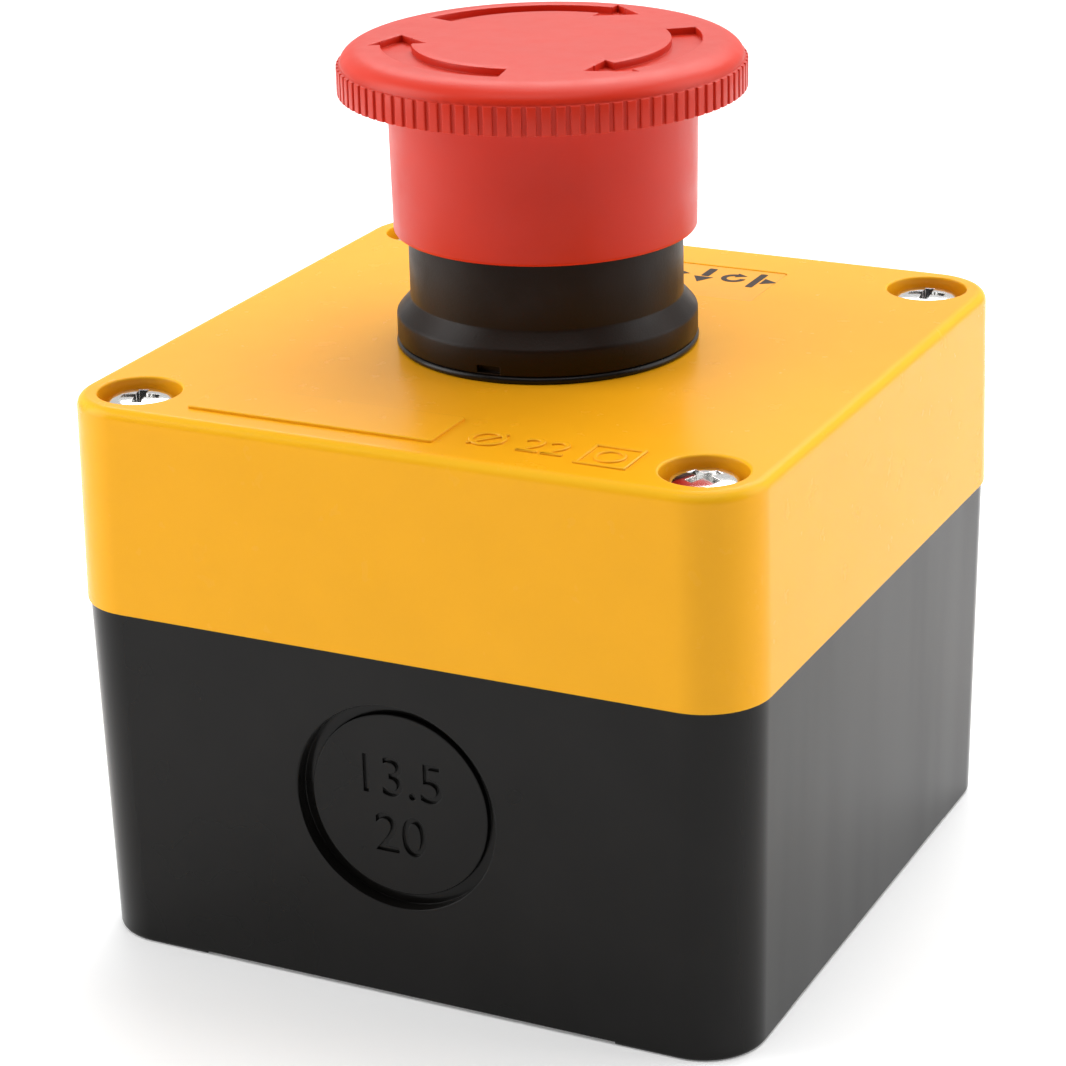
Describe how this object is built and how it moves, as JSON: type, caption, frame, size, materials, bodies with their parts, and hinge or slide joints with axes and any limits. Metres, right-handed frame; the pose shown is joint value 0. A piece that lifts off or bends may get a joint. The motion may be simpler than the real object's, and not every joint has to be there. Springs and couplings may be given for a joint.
{
  "type": "emergency stop station",
  "caption": "Surface-mounted emergency stop box: black moulded base, yellow lid and a red mushroom push button that is twisted to release.",
  "frame": {"origin": "middle of the box's back face, which lies against the wall or machine", "axes": "+Z out of the back along the button's axis; -Y towards the wall of the base that has the front cable knock-out; +X to the right of it"},
  "size_m": [0.072, 0.072, 0.0873],
  "materials": {
    "black_plastic": "satin",
    "yellow_plastic": "satin",
    "red_plastic": "satin",
    "label_film": "satin print film",
    "black_rubber": "soft gloss",
    "zinc_steel": "zinc plated",
    "spindle_steel": "turned",
    "spring_steel": "drawn wire",
    "contact_brass": "pressed",
    "white_plastic": "satin",
    "red_block_plastic": "satin",
    "green_block_plastic": "satin"
  },
  "bodies": {
    "enclosure": {"base_shell": "black_plastic", "lid_shell": "yellow_plastic", "legend_label": "label_film", "lid_gasket": "black_rubber", "lid_screws": "zinc_steel", "collar": "black_plastic", "collar_seal": "black_rubber", "lock_nut": "black_plastic", "contact_holder": "black_plastic", "nc_housing": "red_block_plastic", "nc_contacts": "contact_brass", "nc_terminal_screws": "zinc_steel", "nc_clamps": "zinc_steel", "no_housing": "green_block_plastic", "no_contacts": "contact_brass", "no_terminal_screws": "zinc_steel", "no_clamps": "zinc_steel"},
    "pusher": {"pusher_sleeve": "white_plastic", "latch_pins": "spring_steel", "return_spring": "spring_steel", "twist_spring": "spring_steel"},
    "head": {"mushroom_head": "red_plastic", "head_spindle": "spindle_steel", "spindle_clip": "spring_steel"},
    "nc_slider": {"nc_plunger": "white_plastic", "nc_bridge": "contact_brass", "nc_spring": "spring_steel"},
    "no_slider": {"no_plunger": "white_plastic", "no_bridge": "contact_brass", "no_spring": "spring_steel"}
  },
  "joints": [
    {"name": "button_push", "type": "slide", "parent": "enclosure", "child": "pusher", "axis": [0, 0, -1], "range_m": [0, 0.005], "stiffness_N_per_m": 2500, "springref_m": -0.003, "deforming": ["return_spring"]},
    {"name": "head_twist", "type": "hinge", "parent": "pusher", "child": "head", "pos_m": [0, 0, 0.08], "axis": [0, 0, -1], "range_deg": [0, 40], "stiffness_Nm_per_rad": 0.06, "springref_deg": -20.05},
    {"name": "nc_push", "type": "slide", "parent": "enclosure", "child": "nc_slider", "axis": [0, 0, -1], "range_m": [0, 0.005], "deforming": ["nc_spring"]},
    {"name": "no_push", "type": "slide", "parent": "enclosure", "child": "no_slider", "axis": [0, 0, -1], "range_m": [0, 0.005], "deforming": ["no_spring"]}
  ],
  "couplings": [
    {"joint": "nc_push", "follows": "button_push", "ratio": 1},
    {"joint": "no_push", "follows": "button_push", "ratio": 1}
  ]
}
